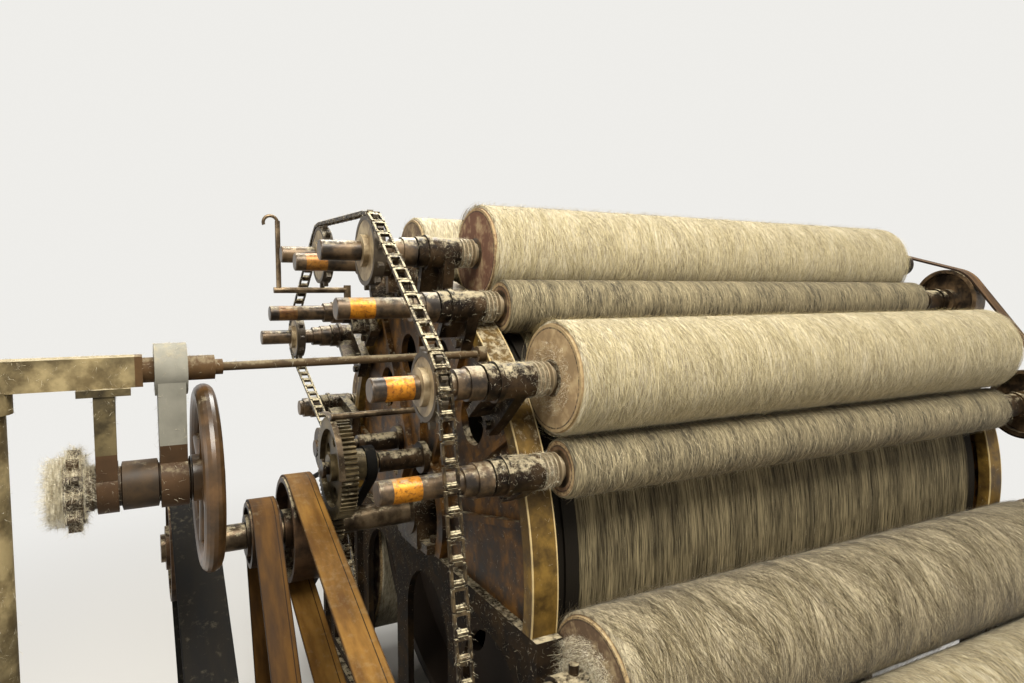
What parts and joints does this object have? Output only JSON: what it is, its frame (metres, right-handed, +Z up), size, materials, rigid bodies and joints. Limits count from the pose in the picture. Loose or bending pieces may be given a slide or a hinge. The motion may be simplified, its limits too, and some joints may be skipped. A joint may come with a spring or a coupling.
{
  "type": "carding machine",
  "caption": "Woollen carding machine: a large swift ringed by workers and strippers on iron frames, with lattice feed, licker-in, fancy, doffer and comb, driven by belts, gears and a chain.",
  "frame": {"origin": "on the floor, under the centre of the whole machine's box", "axes": "+X along the rollers away from the chain drive side, +Y from the feed table towards the doffer, +Z up"},
  "size_m": [2.804, 3.2018, 1.7638],
  "materials": {
    "frame_iron": "matt, dusty",
    "bend_iron": "worn",
    "bearing_iron": "oily",
    "table_wood": "worn",
    "slat_wood": "worn",
    "swift_iron": "wire covered",
    "shaft_steel": "oily",
    "pulley_iron": "worn",
    "gear_iron": "oily",
    "sprocket_iron": "worn",
    "fleece_cover": "wool",
    "wire_cover": "wire and wool",
    "guard_sheet": "worn",
    "chain_iron": "oily, dusty",
    "tan_belt": "worn",
    "black_belt": "worn",
    "brown_paint": "gloss, worn",
    "beam_paint": "matt, dusty",
    "hanger_paint": "matt, dusty"
  },
  "bodies": {
    "frame": {"left_side_frame": "frame_iron", "right_side_frame": "frame_iron", "left_bend": "bend_iron", "right_bend": "bend_iron", "cross_rails": "frame_iron", "swift_pedestals": "bearing_iron", "left_roller_bearings": "bearing_iron", "right_roller_bearings": "bearing_iron", "roller_pedestals": "bearing_iron", "feed_housings": "frame_iron", "feed_table": "table_wood", "feed_lattice": "slat_wood", "comb_brackets": "frame_iron", "drive_bracket": "bearing_iron", "gear_guard": "guard_sheet", "worker_chain": "chain_iron", "chain_drive_belt": "tan_belt", "licker_belt": "tan_belt", "main_belt": "black_belt", "doffer_belt": "black_belt", "stripper_belt": "tan_belt", "drive_stands": "bearing_iron", "overhead_beam": "beam_paint", "shaft_hangers": "hanger_paint", "hook_post": "guard_sheet"},
    "swift": {"swift_drum": "swift_iron", "swift_shaft": "shaft_steel", "belt_pulleys": "pulley_iron", "swift_pinion": "gear_iron", "stripper_drive_pulley": "pulley_iron"},
    "worker_1": {"worker_1": "fleece_cover", "worker_sprocket_1": "sprocket_iron"},
    "worker_2": {"worker_2": "fleece_cover", "worker_sprocket_2": "sprocket_iron"},
    "worker_3": {"worker_3": "fleece_cover", "worker_sprocket_3": "sprocket_iron"},
    "worker_4": {"worker_4": "fleece_cover", "worker_sprocket_4": "sprocket_iron"},
    "stripper_1": {"stripper_1": "wire_cover"},
    "stripper_2": {"stripper_2": "wire_cover"},
    "stripper_3": {"stripper_3": "wire_cover"},
    "stripper_4": {"stripper_4": "wire_cover"},
    "transfer_roller": {"transfer_roller": "fleece_cover"},
    "licker_in": {"licker_in": "fleece_cover"},
    "fancy": {"fancy": "wire_cover"},
    "stud_gear": {"stud_gear": "gear_iron"},
    "doffer": {"doffer": "fleece_cover"},
    "reduction_shaft": {"reduction_shaft": "pulley_iron"},
    "chain_driver": {"chain_driver": "gear_iron"},
    "lower_idler": {"lower_idler": "sprocket_iron"},
    "tension_idler": {"tension_idler": "sprocket_iron"},
    "drive_shaft": {"drive_shaft": "pulley_iron"},
    "feed_roller_bottom": {"feed_roller_bottom": "shaft_steel"},
    "feed_roller_top": {"feed_roller_top": "shaft_steel"},
    "lattice_roller_front": {"lattice_roller_front": "table_wood"},
    "lattice_roller_back": {"lattice_roller_back": "table_wood"},
    "doffer_comb": {"doffer_comb": "shaft_steel"},
    "hand_shaft": {"hand_shaft": "brown_paint", "handwheel": "brown_paint"}
  },
  "joints": [
    {"name": "swift_turn", "type": "hinge", "parent": "frame", "child": "swift", "pos_m": [0.39, 0.20021, 0.94], "axis": [1, 0, 0], "continuous": true, "deforming": ["worker_chain"]},
    {"name": "worker_1_turn", "type": "hinge", "parent": "frame", "child": "worker_1", "pos_m": [0.39, -0.39173, 1.36379], "axis": [1, 0, 0], "continuous": true},
    {"name": "worker_2_turn", "type": "hinge", "parent": "frame", "child": "worker_2", "pos_m": [0.39, -0.0356, 1.62875], "axis": [1, 0, 0], "continuous": true},
    {"name": "worker_3_turn", "type": "hinge", "parent": "frame", "child": "worker_3", "pos_m": [0.39, 0.40819, 1.63766], "axis": [1, 0, 0], "continuous": true},
    {"name": "worker_4_turn", "type": "hinge", "parent": "frame", "child": "worker_4", "pos_m": [0.39, 0.77466, 1.3872], "axis": [1, 0, 0], "continuous": true},
    {"name": "stripper_1_turn", "type": "hinge", "parent": "frame", "child": "stripper_1", "pos_m": [0.39, -0.42518, 1.1859], "axis": [1, 0, 0], "continuous": true},
    {"name": "stripper_2_turn", "type": "hinge", "parent": "frame", "child": "stripper_2", "pos_m": [0.39, -0.16613, 1.50336], "axis": [1, 0, 0], "continuous": true},
    {"name": "stripper_3_turn", "type": "hinge", "parent": "frame", "child": "stripper_3", "pos_m": [0.39, 0.22911, 1.61138], "axis": [1, 0, 0], "continuous": true},
    {"name": "stripper_4_turn", "type": "hinge", "parent": "frame", "child": "stripper_4", "pos_m": [0.39, 0.61361, 1.4698], "axis": [1, 0, 0], "continuous": true},
    {"name": "transfer_roller_turn", "type": "hinge", "parent": "frame", "child": "transfer_roller", "pos_m": [0.39, -0.53731, 0.78324], "axis": [1, 0, 0], "continuous": true},
    {"name": "licker_in_turn", "type": "hinge", "parent": "frame", "child": "licker_in", "pos_m": [0.39, -0.71532, 0.58692], "axis": [1, 0, 0], "continuous": true},
    {"name": "fancy_turn", "type": "hinge", "parent": "frame", "child": "fancy", "pos_m": [0.39, 0.93861, 1.1241], "axis": [1, 0, 0], "continuous": true},
    {"name": "stud_gear_turn", "type": "hinge", "parent": "frame", "child": "stud_gear", "pos_m": [0.39, 0.14275, 1.09787], "axis": [1, 0, 0], "continuous": true},
    {"name": "doffer_turn", "type": "hinge", "parent": "frame", "child": "doffer", "pos_m": [0.39, 1.09587, 0.57813], "axis": [1, 0, 0], "continuous": true},
    {"name": "reduction_shaft_turn", "type": "hinge", "parent": "frame", "child": "reduction_shaft", "pos_m": [0.39, -0.04767, 0.46214], "axis": [1, 0, 0], "continuous": true},
    {"name": "chain_driver_turn", "type": "hinge", "parent": "frame", "child": "chain_driver", "pos_m": [0.39, -0.16179, 0.35], "axis": [1, 0, 0], "continuous": true},
    {"name": "lower_idler_turn", "type": "hinge", "parent": "frame", "child": "lower_idler", "pos_m": [0.39, -0.53539, 0.51919], "axis": [1, 0, 0], "continuous": true},
    {"name": "tension_idler_turn", "type": "hinge", "parent": "frame", "child": "tension_idler", "pos_m": [0.39, 0.40621, 1.092], "axis": [1, 0, 0], "continuous": true},
    {"name": "drive_shaft_turn", "type": "hinge", "parent": "frame", "child": "drive_shaft", "pos_m": [0.39, -0.85979, 0.25], "axis": [1, 0, 0], "continuous": true},
    {"name": "feed_roller_bottom_turn", "type": "hinge", "parent": "frame", "child": "feed_roller_bottom", "pos_m": [0.39, -0.86687, 0.54592], "axis": [1, 0, 0], "continuous": true},
    {"name": "feed_roller_top_turn", "type": "hinge", "parent": "frame", "child": "feed_roller_top", "pos_m": [0.39, -0.86687, 0.62792], "axis": [1, 0, 0], "continuous": true},
    {"name": "lattice_roller_front_turn", "type": "hinge", "parent": "frame", "child": "lattice_roller_front", "pos_m": [0.39, -0.97087, 0.51892], "axis": [1, 0, 0], "continuous": true},
    {"name": "lattice_roller_back_turn", "type": "hinge", "parent": "frame", "child": "lattice_roller_back", "pos_m": [0.39, -1.51087, 0.51892], "axis": [1, 0, 0], "continuous": true},
    {"name": "doffer_comb_rock", "type": "hinge", "parent": "frame", "child": "doffer_comb", "pos_m": [0.39, 1.57087, 0.59613], "axis": [1, 0, 0], "range_deg": [-10, 10]},
    {"name": "hand_shaft_turn", "type": "hinge", "parent": "frame", "child": "hand_shaft", "pos_m": [-1.102, -0.21979, 1.202], "axis": [1, 0, 0], "continuous": true}
  ],
  "couplings": [
    {"joint": "worker_1_turn", "follows": "swift_turn", "ratio": -0.15909},
    {"joint": "worker_2_turn", "follows": "swift_turn", "ratio": -0.13462},
    {"joint": "worker_3_turn", "follows": "swift_turn", "ratio": -0.13462},
    {"joint": "worker_4_turn", "follows": "swift_turn", "ratio": -0.15909},
    {"joint": "stripper_1_turn", "follows": "swift_turn", "ratio": -4},
    {"joint": "stripper_2_turn", "follows": "swift_turn", "ratio": -4},
    {"joint": "stripper_3_turn", "follows": "swift_turn", "ratio": -4},
    {"joint": "stripper_4_turn", "follows": "swift_turn", "ratio": -4},
    {"joint": "transfer_roller_turn", "follows": "swift_turn", "ratio": -0.92857},
    {"joint": "licker_in_turn", "follows": "swift_turn", "ratio": 0.92857},
    {"joint": "fancy_turn", "follows": "swift_turn", "ratio": -5.0602},
    {"joint": "stud_gear_turn", "follows": "swift_turn", "ratio": -0.35484},
    {"joint": "doffer_turn", "follows": "swift_turn", "ratio": -0.070968},
    {"joint": "reduction_shaft_turn", "follows": "swift_turn", "ratio": 0.5},
    {"joint": "chain_driver_turn", "follows": "swift_turn", "ratio": -0.125},
    {"joint": "lower_idler_turn", "follows": "swift_turn", "ratio": -0.15909},
    {"joint": "tension_idler_turn", "follows": "swift_turn", "ratio": 0.21207},
    {"joint": "drive_shaft_turn", "follows": "swift_turn", "ratio": 1},
    {"joint": "feed_roller_top_turn", "follows": "feed_roller_bottom_turn", "ratio": -1},
    {"joint": "lattice_roller_back_turn", "follows": "lattice_roller_front_turn", "ratio": 1}
  ]
}
